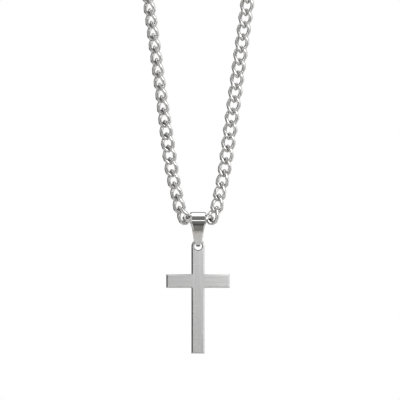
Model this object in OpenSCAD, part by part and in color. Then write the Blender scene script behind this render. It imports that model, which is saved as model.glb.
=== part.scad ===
// Cross pendant on a tapered folded bail, hanging from a whole curb chain with its clasp.
// Lengths in mm. +Z is up, X runs across, the front faces -Y.
// The origin is the underside of the clasp, in the middle of the loop's top, where the
// necklace hangs. The loop lies in the XZ plane.

/* [Cross] */
// Height of the cross over its eye
cross_height = 34.2; // [22:0.1:50]
// Width over the two arms
cross_width = 19.1; // [12:0.1:30]
// Thickness of the plate
cross_thickness = 1.8; // [1.2:0.05:3]
// Width of the upright bar
stem_width = 4.0; // [3:0.05:6]
// Height of the cross bar
arm_height = 4.1; // [2.4:0.05:6]
// From the top of the eye down to the cross bar
arm_drop = 10.4; // [6:0.1:16]
// Chamfer along every edge of the plate
edge_bevel = 0.42; // [0.1:0.01:0.6]
// Radius in the four inner corners
corner_fillet = 0.3; // [0.1:0.05:0.9]
// Diameter of the hole in the eye
eye_hole = 2.36; // [1.8:0.02:3.2]
// Metal round the hole
eye_rim = 0.82; // [0.7:0.01:1.2]
// Chamfer on the rims of the hole
hole_bevel = 0.25; // [0.1:0.01:0.3]

/* [Bail] */
// Height of the bail over its strap
bail_height = 10.4; // [8.5:0.1:16]
// Width of the bail at the chain
bail_width = 4.9; // [3:0.1:7]
// Thickness of the folded strap
bail_strap = 0.5; // [0.3:0.05:0.9]
// Gap between the chain and the arch
chain_clearance = 0.2; // [0.1:0.01:0.5]
// Gap between the eye's rim and the toe
eye_clearance = 0.22; // [0.1:0.01:0.4]
// From the toe's axis down to the eye's hole
hinge_drop = 0.34; // [0.3:0.01:0.7]

/* [Chain] */
// Diameter of the link's wire
wire = 1.1; // [0.8:0.01:1.3]
// Outer width of a link
link_width = 4.35; // [3.8:0.05:5.2]
// Straight stretch on each side of a link
link_flat = 0.5; // [0.2:0.05:1.5]
// Length of chain that one link adds
link_pitch = 3.75; // [3.4:0.01:4.6]
// Play between two links
link_play = 0.25; // [0.2:0.01:0.5]
// Links on each side of the bail
side_links = 72; // [50:1:90]
// Lean of the straight strands from the level
strand_lean = 82.3; // [78:0.1:86]

/* [Clasp] */
// Length of the clasp
clasp_length = 13; // [10:0.1:18]
// Width of the clasp's body
clasp_width = 5.4; // [4.4:0.1:8]
// Thickness of the clasp
clasp_thickness = 1.6; // [1.1:0.05:1.8]
// Metal round the clasp's openings
clasp_rim = 0.75; // [0.5:0.01:1.1]
// Wire of the two rings
ring_wire = 0.9; // [0.6:0.01:1.1]
// Outer diameter of the two rings
ring_width = 5.0; // [4.6:0.05:7]
// Gap between a ring and what it holds
ring_clearance = 0.25; // [0.15:0.01:0.4]

/* [Hidden] */
$fn = 64;

// Route of the links nearest the bail, counted from the lowest joint, with lengths as
// shares of the pitch: lean from the level, tuck along the link, tuck across it.
LEAN = 0; TUCK = 1; SIDE = 2;
route = [[8.5, -0.035, -0.055], [64.9, -0.149, 0.143], [78.6, -0.003, 0.026], [77.4, 0, 0],
         [78.8, 0, 0.004], [80.8, -0.02, 0]];
// Roll of the links about their own length: link number, left strand, right strand.
rolls = [[1, 95.2, 96.7], [2, 138.3, 138.7], [3, 139.4, 144.2], [4, 138, 141], [5, 148, 147],
         [6, 157, 157], [7, 162, 165], [8, 157, 172], [9, 150, 178], [10, 143, 183],
         [11, 137, 187], [12, 133, 190], [13, 133, 193], [20, 133, 193], [66, 135, 135],
         [90, 135, 135]];
// Outline of the bail from the front: share of its height from the top, share of its width.
outline = [[0, 1], [0.3, 0.985], [0.36, 0.88], [0.42, 0.78], [0.51, 0.7], [0.6, 0.64],
           [0.71, 0.57], [0.8, 0.51], [0.885, 0.4], [0.94, 0.28], [1, 0.22]];
link_twist = -52;  // turn of a link's end about its length
end_steps = 4;     // chords round half a link's end
wire_sides = 5;    // faces round the wire
seam = 0.004;      // a straight side starts this far inside the round that it runs off

// Chain
end_r = (link_width - wire) / 2;                  // centreline of a link's end
half_link = (link_pitch + wire + link_play) / 2;  // centreline, middle to tip
end_h = half_link - link_flat / 2;                // centreline, height of a link's end

// Bail
arch_r = 0.7125 * link_width + chain_clearance;   // inside of the arch
arch_drop = 0.253 * link_width;                   // its axis, under the lowest joint
eye_r = eye_hole / 2 + eye_rim;
toe_half = outline[len(outline) - 2][1] * bail_width / 2;  // half the strap's width at the toe
rim_low = hinge_drop + eye_hole / 2 - sqrt(pow(eye_hole / 2, 2) - pow(toe_half, 2));
toe_r = norm([(cross_thickness - hole_bevel) / 2, rim_low]) + eye_clearance;
bail_span = bail_height - arch_r - toe_r - 2 * bail_strap;
flank = asin((arch_r - toe_r) / bail_span);
toe_z = -arch_drop - bail_span;                   // axis that the cross swings about

// Cross
eye_z = toe_z - hinge_drop - eye_hole / 2;
cross_top = eye_z + eye_r;
cross_low = cross_top - cross_height;
arm_top = cross_top - arm_drop;
arm_low = arm_top - arm_height;

// Clasp and rings
ring_r = (ring_width - ring_wire) / 2;            // centreline of a ring
ring_out = ring_r + ring_wire / 2;
bend_in = sqrt(pow(ring_r - ring_wire / 2, 2) - pow(clasp_thickness / 2, 2));
tail_r = (ring_out - bend_in) / 2 + ring_clearance;
tail_mid = (ring_out + bend_in) / 2;              // from the ring's centre to the tail's hole
tail_rim = tail_r + clasp_rim;
hook_rim = clasp_width / 2;
hook_r = hook_rim - clasp_rim;
ring_x = (clasp_length + tail_mid - tail_r + bend_in - ring_clearance) / 2 - clasp_rim;
tail_x = ring_x - tail_mid;
hook_x = tail_x + tail_rim - clasp_length + hook_rim;
slope = asin((hook_rim - tail_rim) / (tail_x - hook_x));
// A ring's wire lies beyond the link's end wire, which lies beyond the last joint.
ring_reach = (wire + ring_wire) / 2 + ring_clearance - (wire + link_play) / 2;
chain_end = ring_x + ring_r - ring_reach;

// Strands, with the lowest joint at zero: joints of the route, a straight and a round top
function dir(a) = [cos(a), 0, sin(a)];
function across(a) = [sin(a), 0, -cos(a)];
function joint(k) = k == 0 ? [0, 0, 0] : middle(k) + dir(route[k - 1][LEAN]) * link_pitch / 2;
function middle(k) = joint(k - 1)
    + dir(route[k - 1][LEAN]) * link_pitch * (0.5 + route[k - 1][TUCK])
    + across(route[k - 1][LEAN]) * link_pitch * route[k - 1][SIDE];
bends = len(route);
foot = joint(bends);
run = (side_links - bends) * link_pitch;
sweep = (180 - strand_lean) * PI / 180;
top_r = (foot[0] + run * cos(strand_lean) - chain_end)
    / (sweep * cos(strand_lean) + sin(strand_lean));
straight = run - sweep * top_r;
head = foot + straight * dir(strand_lean);
function along(s) = s <= straight ? foot + s * dir(strand_lean)
    : let (a = strand_lean + (s - straight) / top_r * 180 / PI)
      head + top_r * [sin(a) - sin(strand_lean), 0, cos(strand_lean) - cos(a)];
function past(k) = along((k - bends) * link_pitch);
loop_top = along(run)[2];
rise = clasp_thickness / 2 - loop_top;            // brings the clasp's underside to zero

// A link as [its middle, its direction, its roll]
function link_at(k) = k <= bends
    ? [middle(k), dir(route[k - 1][LEAN])]
    : [(past(k - 1) + past(k)) / 2, (past(k) - past(k - 1)) / norm(past(k) - past(k - 1))];
function roll_at(k, side) = lookup(k, [for (r = rolls) [r[0], side < 0 ? r[1] : r[2]]]);

// Corners of one link about its own middle: an oval of wire, twisted about its length
bend = link_twist * PI / 180 / half_link;
function corners() = [for (e = [1, -1], i = [0 : end_steps]) let (
        t = (e > 0 ? 0 : 180) + 180 * i / end_steps,
        x = end_r * cos(t),
        z = e * link_flat / 2 + end_h * sin(t),
        f = link_twist * z / half_link,
        dx = -end_r * sin(t),
        dz = end_h * cos(t),
        tan3 = [dx * cos(f) - x * sin(f) * bend * dz, dx * sin(f) + x * cos(f) * bend * dz, dz],
        u = tan3 / norm(tan3),
        r0 = [end_h * cos(t) * cos(f), end_h * cos(t) * sin(f), end_r * sin(t)],
        r1 = r0 - u * (r0 * u),
        r = r1 / norm(r1),
        b = cross(u, r))
    each [for (k = [0 : wire_sides - 1]) let (g = 180 + 360 * k / wire_sides)
        [x * cos(f), x * sin(f), z] + wire / 2 * (cos(g) * r + sin(g) * b)]];
link_corners = corners();
sections = 2 * (end_steps + 1);
per_link = sections * wire_sides;
function link_faces(base) = [for (i = [0 : sections - 1], k = [0 : wire_sides - 1]) let (
        a = base + i * wire_sides + k,
        b = base + ((i + 1) % sections) * wire_sides + k,
        c = base + ((i + 1) % sections) * wire_sides + (k + 1) % wire_sides,
        d = base + i * wire_sides + (k + 1) % wire_sides)
    each [[a, b, c], [a, c, d]]];
function placed(k, side) = let (
        at = link_at(k),
        mid = [side * at[0][0], 0, at[0][2] + rise],
        u = [side * at[1][0], 0, at[1][2]],
        roll = roll_at(k, side),
        ex = cos(roll) * [u[2], 0, -u[0]] + sin(roll) * [0, 1, 0],
        ey = cross(u, ex))
    [for (p = link_corners) mid + p[0] * ex + p[1] * ey + p[2] * u];

module strand(side) {
    polyhedron(
        points = [for (k = [1 : side_links]) each placed(k, side)],
        faces = [for (k = [0 : side_links - 1]) each link_faces(k * per_link)]);
}

// Flat outline in X and Z, drawn out along Y; a side view in Y and Z, drawn out along X
module from_front(depth) { rotate([90, 0, 0]) linear_extrude(depth, center = true) children(); }
module from_side(width) { rotate([90, 0, 90]) linear_extrude(width, center = true) children(); }

// A box's outline with its corners cut, standing on the origin or centred on it
module cut_box(w, h, low = true) {
    b = edge_bevel;
    x = w / 2;
    polygon(low
        ? [[-x, b], [b - x, 0], [x - b, 0], [x, b], [x, h], [-x, h]]
        : [[-x, b - h / 2], [b - x, -h / 2], [x - b, -h / 2], [x, b - h / 2],
           [x, h / 2 - b], [x - b, h / 2], [b - x, h / 2], [-x, h / 2 - b]]);
}

module stem() {
    h = eye_z - cross_low;
    translate([0, 0, rise + cross_low]) intersection() {
        linear_extrude(h) cut_box(stem_width, cross_thickness, false);
        from_side(stem_width) cut_box(cross_thickness, h);
        from_front(cross_thickness) cut_box(stem_width, h);
    }
}

module arms() {
    translate([0, 0, rise + (arm_top + arm_low) / 2]) intersection() {
        linear_extrude(arm_height, center = true) cut_box(cross_width, cross_thickness, false);
        from_side(cross_width) cut_box(cross_thickness, arm_height, false);
        from_front(cross_thickness) cut_box(cross_width, arm_height, false);
    }
}

module inner_corners() {
    f = corner_fillet;
    for (s = [1, -1], e = [[arm_top, 1], [arm_low, -1]])
        translate([0, 0, rise])
            from_front(cross_thickness - 2 * edge_bevel) difference() {
                translate([s * (stem_width + f) / 2, e[0] + e[1] * f / 2])
                    translate([-s * edge_bevel / 2, -e[1] * edge_bevel / 2])
                        square([f + edge_bevel, f + edge_bevel], center = true);
                translate([s * (stem_width / 2 + f), e[0] + e[1] * f]) circle(f);
            }
}

module cross_shape() {
    t = cross_thickness / 2;
    b = edge_bevel;
    h = hole_bevel;
    r = eye_hole / 2;
    difference() {
        union() {
            stem();
            arms();
            inner_corners();
            translate([0, 0, rise + eye_z]) rotate([90, 0, 0]) rotate_extrude()
                polygon([[0, -t], [eye_r - b, -t], [eye_r, b - t], [eye_r, t - b],
                         [eye_r - b, t], [0, t]]);
        }
        translate([0, 0, rise + eye_z]) rotate([90, 0, 0]) rotate_extrude()
            polygon([[0, -2 * t], [r + t + h, -2 * t], [r, h - t], [r, t - h],
                     [r + t + h, 2 * t], [0, 2 * t]]);
    }
}

// The bail's loop, its wall standing w outside its inner line
module loop(w, width) {
    from_side(width) translate([0, -arch_drop]) circle(arch_r + w);
    from_side(width) translate([0, toe_z]) circle(toe_r + w);
    a = arch_r + w - seam;
    c = toe_r + w - seam;
    from_side(width) polygon([
        [a * cos(flank), -arch_drop - a * sin(flank)], [c * cos(flank), toe_z - c * sin(flank)],
        [-c * cos(flank), toe_z - c * sin(flank)], [-a * cos(flank), -arch_drop - a * sin(flank)]]);
}

module bail_shape() {
    top = arch_r + bail_strap - arch_drop;
    right = [for (p = outline) [p[1] * bail_width / 2, top - p[0] * bail_height]];
    left = [for (i = [len(outline) - 1 : -1 : 0]) [-right[i][0], right[i][1]]];
    translate([0, 0, rise]) intersection() {
        difference() { loop(bail_strap, bail_width + 1); loop(0, bail_width + 2); }
        from_front(3 * (arch_r + bail_strap)) polygon(concat(right, left));
    }
}

module clasp_shape() {
    t = clasp_thickness;
    p = (hook_rim - seam) * [sin(slope), cos(slope)];
    q = (tail_rim - seam) * [sin(slope), cos(slope)];
    difference() {
        union() {
            translate([hook_x, 0, 0]) cylinder(t, r = hook_rim);
            translate([tail_x, 0, 0]) cylinder(t, r = tail_rim);
            linear_extrude(t) polygon([[hook_x + p[0], p[1]], [tail_x + q[0], q[1]],
                                       [tail_x + q[0], -q[1]], [hook_x + p[0], -p[1]]]);
        }
        translate([hook_x, 0, -t]) cylinder(3 * t, r = hook_r);
        translate([tail_x, 0, -t]) cylinder(3 * t, r = tail_r);
    }
}

module ring_shape(x) {
    translate([x, 0, clasp_thickness / 2]) rotate([90, 0, 0])
        rotate_extrude() translate([ring_r, 0]) circle(ring_wire / 2);
}

module cross_node() { color([0.78, 0.78, 0.79]) cross_shape(); }
module bail() { color([0.82, 0.82, 0.83]) bail_shape(); }
module chain_left() { color([0.72, 0.72, 0.73]) strand(-1); }
module chain_right() { color([0.72, 0.72, 0.73]) strand(1); }
module clasp() { color([0.75, 0.75, 0.76]) clasp_shape(); }
module clasp_ring() { color([0.7, 0.7, 0.71]) ring_shape(ring_x); }
module end_ring() { color([0.7, 0.7, 0.71]) ring_shape(-ring_x); }

cross_node();  // cross
bail();
chain_left();
chain_right();
clasp();
clasp_ring();
end_ring();
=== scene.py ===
# %% [markdown]
# A cross pendant of steel hangs from a folded bail, and the bail rides on a curb chain.
# The solids come from the frame, which also holds the joints. This lesson dresses them:
# it works out finer surfaces with numpy, gives each a finish made of nodes, and lights
# them as a small studio set does. Lengths are written in millimetres, as on a jeweller's
# drawing, and become metres only when a mesh is made.

import bpy
import numpy as np
from mathutils.geometry import tessellate_polygon
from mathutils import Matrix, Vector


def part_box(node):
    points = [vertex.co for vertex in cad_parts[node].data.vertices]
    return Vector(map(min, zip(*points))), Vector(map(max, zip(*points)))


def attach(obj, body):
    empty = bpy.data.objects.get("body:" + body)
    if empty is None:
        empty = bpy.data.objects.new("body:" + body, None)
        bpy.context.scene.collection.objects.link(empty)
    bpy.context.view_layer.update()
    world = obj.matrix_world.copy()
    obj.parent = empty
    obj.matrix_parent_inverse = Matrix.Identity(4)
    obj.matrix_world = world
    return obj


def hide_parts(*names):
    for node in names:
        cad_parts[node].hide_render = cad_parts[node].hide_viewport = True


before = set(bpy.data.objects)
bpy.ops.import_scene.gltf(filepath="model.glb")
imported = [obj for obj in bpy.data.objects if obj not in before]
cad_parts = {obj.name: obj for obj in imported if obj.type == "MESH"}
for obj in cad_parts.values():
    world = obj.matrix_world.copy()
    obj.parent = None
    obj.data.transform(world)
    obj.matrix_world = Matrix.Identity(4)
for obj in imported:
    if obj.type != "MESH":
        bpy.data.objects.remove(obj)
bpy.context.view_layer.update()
MM = 0.001
print("nodes:", sorted(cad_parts))

# %% [markdown]
# The picture was taken a hair from the left, so the left edges of the cross show wider
# than the right ones. A long lens from far off keeps the bars parallel, as in the picture,
# where a short one would spread them. The camera stands level with the bail and turns to
# the right by the same angle that it stands to the left. Heights are counted from the top
# of the bail and of the cross, which the frame gives, so the dress follows the solids.

# %% The camera
BAIL_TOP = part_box("bail")[1].z / MM
CROSS_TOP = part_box("cross")[1].z / MM
TURN = np.radians(1.5)
FAR = 1200.0
FRAME_WIDTH = 120.0  # what the picture spans at the cross
PICTURE_PIXELS = 400
SENSOR = 36.0
AIM_UP, AIM_RIGHT = 3.6, 0.57  # from the top of the bail to the picture's middle
rightward = np.array([np.cos(TURN), -np.sin(TURN), 0.0])
forward = np.array([np.sin(TURN), np.cos(TURN), 0.0])
aim = np.array([0.0, 0.0, BAIL_TOP + AIM_UP]) + AIM_RIGHT * rightward

lens = bpy.data.cameras.new("camera")
lens.sensor_width = SENSOR
lens.lens = SENSOR * FAR / FRAME_WIDTH
lens.clip_start, lens.clip_end = 0.05, 20.0
camera = bpy.data.objects.new("camera", lens)
camera.location = (aim - FAR * forward) * MM
camera.rotation_euler = (np.pi / 2, 0.0, -TURN)
bpy.context.scene.collection.objects.link(camera)
bpy.context.scene.camera = camera
print("lens", round(lens.lens), "mm; a pixel is", FRAME_WIDTH / PICTURE_PIXELS, "mm on the cross")

# %% [markdown]
# Most surfaces below are grids: a closed profile carried along a closed path. A grid has
# its points in rows, so its faces follow from their numbers alone, and no point is placed
# by hand. Blender's own curves would do this too, but their faces can't be counted out
# beforehand.

# %% Faces of a grid


def grid_faces(rows, cols, closed=True):
    """Quads between rows i and i + 1 and columns j and j + 1, where point (i, j) has the number
    i * cols + j. The last row joins the first; the last column does if closed."""
    i, j = np.meshgrid(np.arange(rows), np.arange(cols if closed else cols - 1), indexing="ij")
    i2, j2 = (i + 1) % rows, (j + 1) % cols
    quads = [i * cols + j, i * cols + j2, i2 * cols + j2, i2 * cols + j]
    return np.stack(quads, -1).reshape(-1, 4)


print("a grid of 4 by 3 points has", len(grid_faces(4, 3)), "faces")

# %% [markdown]
# A face has an inside and an outside, and its normal has to look out. The volume inside a
# closed mesh, by the divergence rule, comes out negative when the faces look in, so its
# sign tells whether to turn them round. Each piece then rides on a body of the frame, and
# stands for the plain solid that the frame has in its place.

# %% A piece


def volume(points, faces):
    """Sum over the faces' triangles of a . (b x c) / 6, for the triangle's corners a, b and c."""
    total = 0.0
    for k in range(1, faces.shape[1] - 1):
        a, b, c = points[faces[:, 0]], points[faces[:, k]], points[faces[:, k + 1]]
        total += np.einsum("ij,ij->", a, np.cross(b, c)) / 6
    return total


def piece(name, points, face_sets, body, node, sharp_angle=None):
    """A smooth mesh of points in mm, with edges that bend more than sharp_angle degrees kept
    sharp. It moves with the body and replaces the node."""
    inside = sum(volume(points, f) for f in face_sets)
    if inside < 0:
        face_sets = [f[:, ::-1] for f in face_sets]
    mesh = bpy.data.meshes.new(name)
    mesh.from_pydata(points * MM, [], [face for f in face_sets for face in f.tolist()])
    mesh.polygons.foreach_set("use_smooth", np.ones(len(mesh.polygons), bool))
    if sharp_angle is not None:
        mesh.set_sharp_from_angle(angle=np.radians(sharp_angle))
    mesh.validate()
    mesh.update()
    made = bpy.data.objects.new(name, mesh)
    bpy.context.scene.collection.objects.link(made)
    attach(made, body)
    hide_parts(node)
    print(f"{name}: {len(mesh.polygons)} faces, {abs(inside):.1f} mm3")
    return made


# %% [markdown]
# A curb link is an oval of wire whose two ends are turned against each other, so that the
# chain lies flat. It could be a curve with a round bevel, but a formula keeps its faces
# few, which counts when 144 links hang in the loop. The wire's middle runs round the oval,
# which is two half ellipses with a short straight stretch between them, and each point is
# turned about the link's length by an angle that grows with height. Where two links touch,
# on the inside of the tips, a value kept at each point says how dark the painted shade makes the
# metal.

# %% One link
WIRE = 1.1
FULLER = 1.05  # six sides look thinner than a round wire, so they stand out by this
END_R = 1.625  # half width of the oval, at the wire's middle
END_H = 2.3  # height of each half ellipse
HALF_LINK = 2.55  # from the link's centre to its tip, at the wire's middle
LINK_TWIST = np.radians(-52)  # turn of the tip against the centre
END_STEPS = 6
WIRE_SIDES = 6
JOINT_SHADE_POWER = 4  # a high power keeps the painted shade close to the tips


def link_surface():
    """Wire carried round a twisted oval. The oval is x = R cos t, z = +-(half - H) + H sin t,
    turned about z by twist * z / half. A point of the wire is the middle + r (cos g * out +
    sin g * side), where out leads away from the link's axis and side is across it."""
    half = np.arange(END_STEPS + 1) / END_STEPS * np.pi
    t = np.concatenate([half, half + np.pi])
    end = np.repeat([1.0, -1.0], END_STEPS + 1)
    x, z = END_R * np.cos(t), end * (HALF_LINK - END_H) + END_H * np.sin(t)
    turned = LINK_TWIST * z / HALF_LINK
    c, s = np.cos(turned), np.sin(turned)
    middle = np.stack([x * c, x * s, z], -1)
    dx, dz = -END_R * np.sin(t), END_H * np.cos(t)
    growth = LINK_TWIST / HALF_LINK * dz
    along = np.stack([dx * c - x * s * growth, dx * s + x * c * growth, dz], -1)
    along /= np.linalg.norm(along, axis=1, keepdims=True)
    out = np.stack([END_H * np.cos(t) * c, END_H * np.cos(t) * s, END_R * np.sin(t)], -1)
    out -= along * np.einsum("ij,ij->i", out, along)[:, None]
    out /= np.linalg.norm(out, axis=1, keepdims=True)
    side = np.cross(along, out)
    g = np.arange(WIRE_SIDES) / WIRE_SIDES * 2 * np.pi
    ring = np.cos(g)[None, :, None] * out[:, None] + np.sin(g)[None, :, None] * side[:, None]
    points = (middle[:, None] + WIRE / 2 * FULLER * ring).reshape(-1, 3)
    # Painted shade: a value that darkens the inside of the tips, where the links touch.
    near_tip = (np.abs(z) / HALF_LINK) ** JOINT_SHADE_POWER
    inward = 0.5 - 0.5 * np.cos(g)
    worn = near_tip[:, None] * inward[None, :]
    return points, grid_faces(len(t), WIRE_SIDES), worn.reshape(-1)


link_points, link_faces, link_joint_shade = link_surface()
link_volume = abs(volume(link_points, link_faces))
print("one link:", len(link_faces), "faces,", round(link_volume, 2), "mm3")

# %% [markdown]
# The frame already holds the 144 links, each in its place and turned on its own. Instead
# of a second list of places, the fine link is laid over each of them: the middle of a
# link's corners is its centre, and the directions in which they spread most, less and
# least are its length, width and thickness. A link looks the same after half a turn
# about any of the three, so it doesn't matter which way each direction points.

# %% The chain
LINKS = 72
PER_LINK = 10 * 5 * 2 * 3  # sections, sides, triangles of a side, corners of a triangle


def strand(name):
    """Each of the frame's links as its corners' mean and the eigenvectors of their
    covariance, with the fine link set on that centre along those three axes."""
    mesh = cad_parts[name].data
    corners = np.empty(len(mesh.vertices) * 3)
    mesh.vertices.foreach_get("co", corners)
    order = np.empty(len(mesh.loops), int)
    mesh.loops.foreach_get("vertex_index", order)
    corners = corners.reshape(-1, 3)[order].reshape(LINKS, PER_LINK, 3) / MM
    centre = corners.mean(1)
    spread = np.einsum("kni,knj->kij", corners - centre[:, None], corners - centre[:, None])
    axes = np.linalg.eigh(spread)[1]
    length, width = axes[:, :, 2], axes[:, :, 1]
    thick = np.cross(length, width)
    points = centre[:, None] + link_points @ np.stack([width, thick, length], 1)
    faces = link_faces[None] + np.arange(LINKS)[:, None, None] * len(link_points)
    points, faces = points.reshape(-1, 3), faces.reshape(-1, 4)
    made = piece(name + "_links", points, [faces], "chain", name)
    # Each point keeps its painted shade of the joints as an attribute.
    worn = made.data.attributes.new("worn", "FLOAT", "POINT")
    worn.data.foreach_set("value", np.tile(link_joint_shade, LINKS))
    return made


strands = [strand("chain_left"), strand("chain_right")]

# %% [markdown]
# The bail is a strap folded over the chain and closed at a narrow toe, which holds the
# cross by its eye. Its outer face has a wide slope along each edge, which catches the
# light apart from the face. A curve with a bevel would keep one width, so the strap's
# section is carried round the loop here, and its width is read from the front outline at
# each height. It narrows as the solid does.

# %% The bail's sizes
BAIL_HEIGHT, BAIL_WIDTH, STRAP = 10.4, 4.9, 0.5
ARCH_R, TOE_R = 3.3, 1.176  # the loop's inside, at the top and at the toe
ARCH_Z = BAIL_TOP - STRAP - ARCH_R
TOE_Z = BAIL_TOP - BAIL_HEIGHT + STRAP + TOE_R
FLANK = np.arcsin((ARCH_R - TOE_R) / (ARCH_Z - TOE_Z))  # lean of the straight flanks
ARCH_STEPS, TOE_STEPS, FLANK_STEPS = 49, 25, 14
# The outline from the front: share of the height from the top, share of the width.
OUTLINE = np.array([[0, 1], [0.3, 0.985], [0.36, 0.88], [0.42, 0.78], [0.51, 0.7], [0.6, 0.64],
                    [0.71, 0.57], [0.8, 0.51], [0.885, 0.4], [0.94, 0.28], [1, 0.22]])
# The section's outer slope and its eased inner edge: share of the half width, depth.
SLOPE_WIDE, SLOPE_DEEP = 0.2, 0.22
EASED_WIDE, EASED_DEEP = 0.03, 0.06
print("the flanks lean by", round(np.degrees(FLANK), 1), "degrees")

# %% [markdown]
# The loop is an arc over the top and a smaller one under the toe, joined by straight
# flanks that touch both. The section's right half is written from the outer face round to
# the inner one, and its left half is the mirror image in the opposite order.

# %% The strap round its loop
BAIL_SHARP = 24


def loop_arc(centre_z, radius, angle):
    """Points (y, z) of a circle in the side view, at the angles from the back."""
    return np.array([0, centre_z]) + radius * np.stack([np.cos(angle), np.sin(angle)], -1)


def bail_surface():
    """The section carried round a loop: an arc over the top, a straight flank, an arc under
    the toe and a flank back. A point is the loop's point + height * n, with n outward, and
    its x is the section's share of the half width that the outline has at that height."""
    over = np.linspace(-FLANK, np.pi + FLANK, ARCH_STEPS)
    under = np.linspace(np.pi + FLANK, 2 * np.pi - FLANK, TOE_STEPS)
    arch, toe = loop_arc(ARCH_Z, ARCH_R, over), loop_arc(TOE_Z, TOE_R, under)
    share = np.linspace(0, 1, FLANK_STEPS + 2)[1:-1, None]
    front = arch[-1] + (toe[0] - arch[-1]) * share
    back = toe[-1] + (arch[0] - toe[-1]) * share
    path = np.concatenate([arch, front, toe, back])
    angle = np.concatenate([over, np.full(FLANK_STEPS, over[-1]),
                            under, np.full(FLANK_STEPS, under[-1])])
    n = np.stack([np.cos(angle), np.sin(angle)], -1)

    right = np.array([[1 - SLOPE_WIDE, STRAP], [1, STRAP - SLOPE_DEEP],
                      [1, EASED_DEEP], [1 - EASED_WIDE, 0]])
    across, height = np.concatenate([right, right[::-1] * [-1, 1]]).T
    yz = path[:, None] + height[None, :, None] * n[:, None]
    crown = ARCH_Z + ARCH_R + STRAP
    half_width = BAIL_WIDTH / 2 * np.interp((crown - yz[..., 1]) / BAIL_HEIGHT, *OUTLINE.T)
    points = np.concatenate([(across * half_width)[..., None], yz], -1)
    return points.reshape(-1, 3), grid_faces(len(path), len(across))


points, faces = bail_surface()
bail = piece("bail_strap", points, [faces], "bail", "bail", BAIL_SHARP)

# %% [markdown]
# The cross and the clasp are both plates: a flat outline with holes, and chamfered edges.
# A Bevel modifier could cut them, but here the edge is a profile carried round each
# outline, because the holes then get a chamfer of their own. A chamfer needs the outline
# moved in by an even width, so each corner steps along the middle of its two edges.

# %% Moving an outline


def offsets(outline):
    """Step of each corner of a closed outline that moves both its edges out by 1: the sum of
    the two edges' outward normals a and b, over 1 + a . b."""
    before = outline - np.roll(outline, 1, 0)
    after = np.roll(outline, -1, 0) - outline
    before /= np.linalg.norm(before, axis=1, keepdims=True)
    after /= np.linalg.norm(after, axis=1, keepdims=True)
    a, b = (np.stack([v[:, 1], -v[:, 0]], -1) for v in (before, after))
    return (a + b) / (1 + np.einsum("ij,ij->i", a, b))[:, None]


square = np.array([[0, 0], [1, 0], [1, 1], [0, 1]], float)
print("a square's corners step by", offsets(square).tolist())

# %% [markdown]
# The plate's walls are one grid for each loop, open across, because its first and last
# columns are the rims of the two flat faces. Those faces are filled by triangles between
# the outline and the holes, which Blender works out from the loops.

# %% A plate
PLATE_SHARP = 35


def plate(loops, thickness, chamfers):
    """Loops of (u, v), the first counter-clockwise and the holes clockwise, each with its own
    chamfer c. The edge's profile runs from one face to the other: inset c at depth T/2, inset
    0 at depth T/2 - c, and the same on the other side. Gives points, walls and flat faces."""
    points, walls, rims, base = [], [], [], 0
    for loop, c in zip(loops, chamfers):
        inset = np.array([c, 0, 0, c])
        depth = np.array([1, 1, -1, -1]) * thickness / 2 - np.array([0, c, -c, 0])
        uv = loop[:, None] - inset[None, :, None] * offsets(loop)[:, None]
        w = np.broadcast_to(depth[None, :, None], (*uv.shape[:2], 1))
        points.append(np.concatenate([uv, w], -1).reshape(-1, 3))
        walls.append(base + grid_faces(len(loop), len(depth), closed=False))
        rims.append(base + np.arange(len(loop)) * len(depth))
        base += len(loop) * len(depth)
    points, front = np.concatenate(points), np.concatenate(rims)
    back = front + len(depth) - 1
    cut = [[(u, v, 0.0) for u, v in points[rim, :2].tolist()] for rim in rims]
    triangles = np.array(tessellate_polygon(cut))
    flat = points[front][triangles]
    turn = np.cross(flat[:, 1] - flat[:, 0], flat[:, 2] - flat[:, 0])[:, 2]
    triangles[turn < 0] = triangles[turn < 0, ::-1]
    caps = np.concatenate([front[triangles], back[triangles[:, ::-1]]])
    return points, np.concatenate(walls), caps


# %% [markdown]
# Loops are drawn from corners and arcs, as with a compass. An outline runs
# counter-clockwise and a hole clockwise, so that the metal is always on the same side.

# %% Arcs and holes


def arc(cx, cy, r, start, stop, steps):
    """Points of a circle from one angle to another, in degrees."""
    a = np.radians(np.linspace(start, stop, steps))
    return np.stack([cx + r * np.cos(a), cy + r * np.sin(a)], -1)


def hole(cx, cy, r, steps):
    """A whole circle, clockwise, as a plate's holes run."""
    return arc(cx, cy, r, 360, 360 / steps, steps)


print("a hole of 8 steps starts at", hole(0, 0, 1, 8)[0].round(3))

# %% [markdown]
# The cross is a satin plate 1.8 mm thick with a wide chamfer all round. Its upper end is a
# round eye as wide as the upright, and the four inner corners are a little hollow, as a
# file leaves them. Boxes and a disc could be joined by Boolean modifiers, but one outline
# gives clean edges. Only its right half is written, and the left is its mirror image.

# %% The cross
THICK, CHAMFER, HOLE_CHAMFER, FILLET = 1.8, 0.42, 0.25, 0.3
STEM, ARM = 2.0, 9.55  # from the middle line to the upright's edge and to an arm's end
CROSS_HEIGHT, ARM_DROP, ARM_HEIGHT = 34.2, 10.4, 4.1
LOW, ARM_TOP = CROSS_TOP - CROSS_HEIGHT, CROSS_TOP - ARM_DROP
ARM_LOW = CROSS_TOP - (ARM_DROP + ARM_HEIGHT)
EYE_R, HOLE_R = 2.0, 1.18
EYE_Z = CROSS_TOP - EYE_R
FILLET_STEPS, EYE_STEPS, HOLE_STEPS = 6, 36, 64

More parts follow.
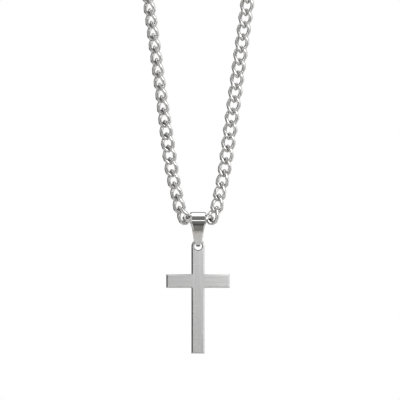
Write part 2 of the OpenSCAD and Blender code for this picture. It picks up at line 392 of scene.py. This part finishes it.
corner_x = STEM + FILLET
right = np.concatenate([
    [[STEM, LOW]],
    arc(corner_x, ARM_LOW - FILLET, FILLET, 180, 90, FILLET_STEPS),
    [[ARM, ARM_LOW], [ARM, ARM_TOP]],
    arc(corner_x, ARM_TOP + FILLET, FILLET, 270, 180, FILLET_STEPS),
    arc(0, EYE_Z, EYE_R, 0, 90, EYE_STEPS),
])
outline = np.concatenate([right, right[-2::-1] * [-1, 1]])
eye = hole(0, EYE_Z, HOLE_R, HOLE_STEPS)
points, walls, caps = plate([outline, eye], THICK, [CHAMFER, HOLE_CHAMFER])
points = np.stack([points[:, 0], -points[:, 2], points[:, 1]], -1)
cross = piece("cross_plate", points, [walls, caps], "cross", "cross", PLATE_SHARP)

# %% [markdown]
# The clasp is out of the picture, at the top of the loop. It is a plain drop-shaped plate
# with an opening for each of the two rings, and the same plate function cuts it: its
# outline is an arc round the tail, an arc round the hook and two straight sides.

# %% The clasp
CLASP_T, CLASP_CHAMFER = 1.6, 0.2
HOOK_X, HOOK_RIM, HOOK_R = -3.8, 2.7, 1.95
TAIL_X, TAIL_RIM, TAIL_R = 4.94282, 1.55718, 0.80718
TAIL_STEPS, HOOK_STEPS, OPENING_STEPS = 33, 49, 48

slant = np.degrees(np.arcsin((HOOK_RIM - TAIL_RIM) / (TAIL_X - HOOK_X)))
drop = np.concatenate([arc(TAIL_X, 0, TAIL_RIM, slant - 90, 90 - slant, TAIL_STEPS),
                       arc(HOOK_X, 0, HOOK_RIM, 90 - slant, 270 + slant, HOOK_STEPS)])
loops = [drop, hole(HOOK_X, 0, HOOK_R, OPENING_STEPS), hole(TAIL_X, 0, TAIL_R, OPENING_STEPS)]
points, walls, caps = plate(loops, CLASP_T, [CLASP_CHAMFER] * len(loops))
points = points + [0, 0, CLASP_T / 2]
clasp = piece("clasp_plate", points, [walls, caps], "chain", "clasp", PLATE_SHARP)

# %% [markdown]
# The rings are wire bent round in a circle, one in each opening of the clasp. Blender adds
# a torus with one call, but the grid that made the link makes it in the ring's own place.

# %% The rings
RING_X, RING_R, RING_WIRE = 6.88564, 2.05, 0.9
RING_STEPS, RING_SIDES = 48, 12


def ring(name, cx):
    """A torus: ((R + r cos b) cos a, r sin b, (R + r cos b) sin a) round the ring's centre."""
    a, b = (np.arange(n)[:, None] / n * 2 * np.pi for n in (RING_STEPS, RING_SIDES))
    reach = RING_R + RING_WIRE / 2 * np.cos(b.T)
    y = np.broadcast_to(RING_WIRE / 2 * np.sin(b.T), (RING_STEPS, RING_SIDES))
    points = np.stack([cx + reach * np.cos(a), y, CLASP_T / 2 + reach * np.sin(a)], -1)
    faces = grid_faces(RING_STEPS, RING_SIDES)
    return piece(name + "_wire", points.reshape(-1, 3), [faces], "chain", name)


rings = [ring("clasp_ring", RING_X), ring("end_ring", -RING_X)]

# %% [markdown]
# A finish is a set of nodes. They could be drawn by hand in the editor, but written as sums
# they can be read and changed. A socket is wrapped in a small class whose operators each
# add a Math node, so that 1 - mask is a node too.

# %% Sums on sockets


class Socket:
    """An output that can stand in a sum."""

    def __init__(self, nodes, output):
        self.nodes, self.output = nodes, output

    def _sum(self, kind, a, b):
        return self.nodes.add("ShaderNodeMath", {"operation": kind}, {0: a, 1: b})

    def __add__(self, other):
        return self._sum("ADD", self, other)

    def __sub__(self, other):
        return self._sum("SUBTRACT", self, other)

    def __rsub__(self, other):
        return self._sum("SUBTRACT", other, self)

    def __mul__(self, other):
        return self._sum("MULTIPLY", self, other)

    def __gt__(self, other):
        return self._sum("GREATER_THAN", self, other)

    def __abs__(self):
        return self._sum("ABSOLUTE", self, 0.0)

    __radd__ = __add__
    __rmul__ = __mul__


# %% [markdown]
# Any other node comes from one method, add. It takes the node's type, its settings, which
# are set first, and the values or links of its sockets by name or number.

# %% Nodes by one method


class Nodes:
    """A node tree, with one method that adds any node."""

    def __init__(self, tree):
        self.tree = tree

    def add(self, kind, settings=None, values=None, output=0):
        node = self.tree.nodes.new(kind)
        for key, value in (settings or {}).items():
            if key == "stops":
                self.set_stops(node.color_ramp, value)
            else:
                setattr(node, key, value)
        for key, value in (values or {}).items():
            self.fill(node.inputs[key], value)
        return Socket(self, node.outputs[output])

    def set_stops(self, ramp, stops):
        """Stops of a ramp as (place, shade), where a shade is a grey or (r, g, b)."""
        for _ in stops[2:]:
            ramp.elements.new(0.5)
        for stop, (place, shade) in zip(ramp.elements, stops):
            colour = shade if isinstance(shade, tuple) else (shade, shade, shade)
            stop.position, stop.color = place, (*colour, 1.0)

    def fill(self, socket, value):
        if isinstance(value, Socket):
            self.tree.links.new(value.output, socket)
        else:
            socket.default_value = value


# %% [markdown]
# The kinds that come up again and again get a short name each, so that a finish reads like
# a recipe.

# %% Short names for common nodes


class Recipe(Nodes):
    """A node tree, with the nodes that these finishes are made of."""

    def place(self):
        """The point's place on its object, in metres."""
        return self.add("ShaderNodeTexCoord", output=3)

    def part(self, vector, axis):
        """One of a vector's x, y and z, numbered 0, 1 and 2."""
        return self.add("ShaderNodeSeparateXYZ", {}, {0: vector}, axis)

    def stretched(self, vector, scale):
        return self.add("ShaderNodeMapping", {}, {"Vector": vector, "Scale": scale})

    def noise(self, vector, scale, detail):
        values = {"Vector": vector, "Scale": scale, "Detail": detail}
        return self.add("ShaderNodeTexNoise", {}, values)

    def ramp(self, value, stops):
        return self.add("ShaderNodeValToRGB", {"stops": stops}, {0: value})

    def share(self, value, start, end):
        """0 where the value is start, 1 where it is end, and in proportion between."""
        return self.add("ShaderNodeMapRange", {}, {0: value, 1: start, 2: end, 3: 0.0, 4: 1.0})

    def blend(self, kind, factor, a, b):
        settings = {"data_type": "RGBA", "blend_type": kind}
        return self.add("ShaderNodeMix", settings, {0: factor, 6: a, 7: b}, 2)

    def bump(self, height, strength, distance):
        values = {"Height": height, "Strength": strength, "Distance": distance}
        return self.add("ShaderNodeBump", {}, values)


# %% [markdown]
# All the metal here is bare steel: Metallic is 1, and the rest is a tint, a roughness and
# sometimes a bump. So every finish starts from one function and ends with another.

# %% The start and the end of a finish


def finish(name, metallic=1.0):
    """A new material and its nodes. Bare steel is all metal."""
    material = bpy.data.materials.new(name)
    material.use_nodes = True
    material.node_tree.nodes["Principled BSDF"].inputs["Metallic"].default_value = metallic
    return material, Recipe(material.node_tree)


def dress(pieces, material, **looks):
    """Fill the shader's inputs, Base_Color for Base Color, and put the material on pieces."""
    tree = material.node_tree
    for key, value in looks.items():
        Nodes(tree).fill(tree.nodes["Principled BSDF"].inputs[key.replace("_", " ")], value)
    for made in pieces:
        made.data.materials.clear()
        made.data.materials.append(material)
    print(f"{material.name}: {len(tree.nodes)} nodes on", [made.name for made in pieces])


# %% [markdown]
# The face of the cross is brushed along each bar, so the fine lines run up the upright and
# out along the arms. The Anisotropic input could stretch the highlight, but it shows no
# lines, so they are noise that is stretched along the bar: the point's place is scaled up
# across it and hardly along it. They tint the metal, roughen it and lift the surface by a
# hair. The chamfers are smoother, and their colour is darkened a little as painted shade.
# A chamfer is found by its normal, which leans away from the front.

# %% The brushed finish of the cross
ACROSS, INTO, ALONG = 5200, 400, 90  # cells of noise in a metre
FACES_FRONT = 0.9

material, nodes = finish("brushed cross")
place = nodes.place()
lines_up = nodes.noise(nodes.stretched(place, (ACROSS, INTO, ALONG)), 1.0, 3.0)
lines_out = nodes.noise(nodes.stretched(place, (ALONG, INTO, ACROSS)), 1.0, 3.0)
on_arm = abs(nodes.part(place, 0)) > STEM * MM
lines = lines_up * (1 - on_arm) + lines_out * on_arm
tint = nodes.ramp(lines, [(0.3, (0.68, 0.68, 0.68)), (0.7, (0.78, 0.78, 0.775))])
normal = nodes.add("ShaderNodeTexCoord", output=1)
edge = 1 - (abs(nodes.part(normal, 1)) > FACES_FRONT)
# The chamfers' colour is multiplied by 0.87 below: painted shade.
dress([cross], material,
      Base_Color=nodes.blend("MULTIPLY", edge, tint, (0.87, 0.87, 0.87, 1.0)),
      Roughness=0.41 + 0.08 * lines - 0.15 * edge,
      Normal=nodes.bump(lines, 0.12, 0.02 * MM))

# %% [markdown]
# The bail's arch is polished and shows the studio almost as a mirror does. Its narrow leaf
# is satin, so its roughness grows below the shoulders; its colour is painted lighter as
# painted light, and the toe is painted dark as painted shade. Two materials would leave a
# hard line between them, so one material changes with height, which a Map Range node turns into a
# share.

# %% The polish of the bail
LEAF_START, LEAF_FULL = 5.6, 6.6  # from the top of the bail, down

material, nodes = finish("polished bail")
place = nodes.place()
lines = nodes.noise(nodes.stretched(place, (4200, 160, 160)), 1.0, 2.0)
z = nodes.part(place, 2)
leaf = nodes.share(z, (BAIL_TOP - LEAF_START) * MM, (BAIL_TOP - LEAF_FULL) * MM)
down = nodes.share(z, BAIL_TOP * MM, (BAIL_TOP - BAIL_HEIGHT) * MM)
# The colour below is lighter on the leaf as painted light, and dark at the toe as painted shade.
tint = nodes.ramp(down, [
    (0.27, (0.66, 0.66, 0.655)),  # the arch
    (0.36, (0.68, 0.655, 0.63)),  # the front below it, a little warm
    (0.54, (0.68, 0.65, 0.62)),
    (0.64, (0.94, 0.915, 0.88)),  # the satin leaf, painted lighter as painted light
    (0.82, (0.92, 0.91, 0.89)),
    (0.93, (0.90, 0.90, 0.89)),
    (0.96, (0.28, 0.275, 0.27)),  # the toe, painted dark as painted shade
])
dress([bail], material,
      Base_Color=tint,
      Roughness=0.05 + 0.05 * lines + leaf * (0.24 + 0.14 * lines),
      Normal=nodes.bump(lines, 0.05, 0.01 * MM))

# %% [markdown]
# The chain has a softer polish, uneven by a cloudy noise. In the joints of the links the
# colour is painted darker as painted shade, where the links shade each other, and the
# polish is a little rougher. Ambient occlusion could find the joints, but the value that
# each link's points already hold does it with no extra rays, and stays with the mesh.

# %% The polish of the chain
material, nodes = finish("polished links")
cloud = nodes.noise(nodes.place(), 900.0, 3.0)
worn = nodes.add("ShaderNodeAttribute", {"attribute_name": "worn"}, output=2)
dark = nodes.add("ShaderNodeMath", {"operation": "MULTIPLY", "use_clamp": True},
                 {0: worn, 1: 0.5 + 0.6 * cloud})
# The joints get painted shade in the base colour, and a rougher polish.
dress(strands, material,
      Base_Color=nodes.ramp(dark, [(0.0, (0.745, 0.74, 0.725)), (1.0, (0.285, 0.28, 0.27))]),
      Roughness=0.16 + 0.08 * cloud + 0.1 * dark)

# %% [markdown]
# The clasp and its rings are plain bright steel. The same cloudy noise, a little coarser,
# keeps them from looking like glass.

# %% The polish of the clasp
material, nodes = finish("bright clasp")
cloud = nodes.noise(nodes.place(), 700.0, 4.0)
dress([clasp, *rings], material,
      Base_Color=nodes.ramp(cloud, [(0.3, (0.60, 0.60, 0.60)), (0.7, (0.68, 0.68, 0.68))]),
      Roughness=0.10 + 0.14 * cloud)

# %% [markdown]
# Steel shows what stands round it. The room is white to the camera, as behind a cut-out
# product picture, but the metal sees a studio. In front it is dark, with a pale patch to
# the front left and a paler side on the right. Behind, it grows from dark on the left to
# pale on the right. A dim band lies at eye level, and above and below it the room is light.
# A panorama picture could do this, but three ramps by direction are easy to steer.

# %% The room
ROOM_BRIGHT = 1.6
# From the left, 0, to the right, 1: how bright the room is there.
AHEAD = [(0.0, 0.07), (0.13, 0.60), (0.22, 0.58), (0.35, 0.20), (0.6, 0.15), (0.8, 0.36),
         (1.0, 0.55)]
BEHIND = [(0.0, 0.10), (0.5, 0.35), (1.0, 0.7)]
# From straight down, 0, to straight up, 1: the share of that brightness.
BY_HEIGHT = [(0.0, 1.0), (0.40, 1.0), (0.47, 0.35), (0.52, 0.35), (0.6, 0.7), (0.9, 0.9),
             (1.0, 1.0)]

world = bpy.data.worlds.new("studio")
bpy.context.scene.world = world
world.use_nodes = True
room = Recipe(world.node_tree)
toward = room.add("ShaderNodeTexCoord", output=0)
x, y, z = (room.part(toward, axis) for axis in range(3))
ahead, behind = (room.ramp(0.5 + 0.5 * x, stops) for stops in (AHEAD, BEHIND))
around = room.blend("MIX", y > 0.0, ahead, behind)
shade = room.blend("MULTIPLY", 1.0, around, room.ramp(0.5 + 0.5 * z, BY_HEIGHT))
seen = room.add("ShaderNodeBackground", {}, {"Color": shade, "Strength": ROOM_BRIGHT})
white = room.add("ShaderNodeBackground", {}, {"Color": (1, 1, 1, 1), "Strength": 1.0})
to_camera = room.add("ShaderNodeLightPath", output=0)
room.fill(world.node_tree.nodes["World Output"].inputs[0],
          room.add("ShaderNodeMixShader", {}, {0: to_camera, 1: seen, 2: white}))
print("the room has", len(world.node_tree.nodes), "nodes")

# %% [markdown]
# Four soft lamps stand round the pendant: a narrow strip in front and above, whose line
# shows in the bail, a panel overhead that whitens every top edge, one to the right, and a
# small key lamp at the front right that brightens the satin face towards that side.
# A lamp's power follows from how bright its panel looks: radiance * pi * area. That way a
# lamp can be moved or resized without its reflection growing brighter.

# %% The lamps
AT_BAIL, AT_CROSS = (0, 0, -248), (0, 0, -265)


def lamp(name, place, at, width, height, bright):
    """A soft panel at place (mm) that faces at, as bright as it looks in the steel."""
    light = bpy.data.lights.new(name, "AREA")
    light.shape = "RECTANGLE"
    light.size, light.size_y = width * MM, height * MM
    light.energy = bright * np.pi * width * height * MM * MM
    made = bpy.data.objects.new(name, light)
    back = np.array(place, float) - np.array(at, float)
    made.location = np.array(place) * MM
    tilt = np.arctan2(np.hypot(back[0], back[1]), back[2])
    made.rotation_euler = (tilt, 0.0, np.arctan2(back[0], -back[1]))
    made.visible_camera = False
    bpy.context.scene.collection.objects.link(made)
    print(f"{name}: {light.energy:.3f} W")


lamp("strip", (60, -320, 8), AT_BAIL, 420, 45, 1.9)
lamp("overhead", (0, 110, 150), AT_BAIL, 500, 320, 1.6)
lamp("right", (420, -60, -200), AT_BAIL, 360, 300, 0.82)
lamp("key", (92, -181, -198), AT_CROSS, 100, 160, 4.1)

# %% [markdown]
# The floor is a plain pale disc well below the pendant, out of the picture's view. It
# reaches farther back than forward, so that the underside of the bail's arch, which looks
# down and forward, still shows the dark room.

# %% The floor
FLOOR_R, FLOOR_AT, FLOOR_SIDES = 215, [0, 141, -340], 64

a = np.arange(FLOOR_SIDES) / FLOOR_SIDES * 2 * np.pi
disc = np.stack([np.cos(a), np.sin(a), np.zeros(FLOOR_SIDES)], -1) * FLOOR_R
floor_mesh = bpy.data.meshes.new("floor")
floor_mesh.from_pydata((disc + FLOOR_AT) * MM, [], [list(range(FLOOR_SIDES))])
floor = bpy.data.objects.new("floor", floor_mesh)
bpy.context.scene.collection.objects.link(floor)
material, nodes = finish("pale floor", metallic=0.0)
grain = nodes.noise(nodes.place(), 60.0, 4.0)
dress([floor], material,
      Base_Color=nodes.ramp(grain, [(0.3, (0.64, 0.635, 0.625)), (0.7, (0.67, 0.665, 0.655))]),
      Roughness=0.8)

# %% [markdown]
# White in the room has to be white in the picture, so the colours go out unchanged.

# %% The picture
bpy.context.scene.view_settings.view_transform = "Standard"
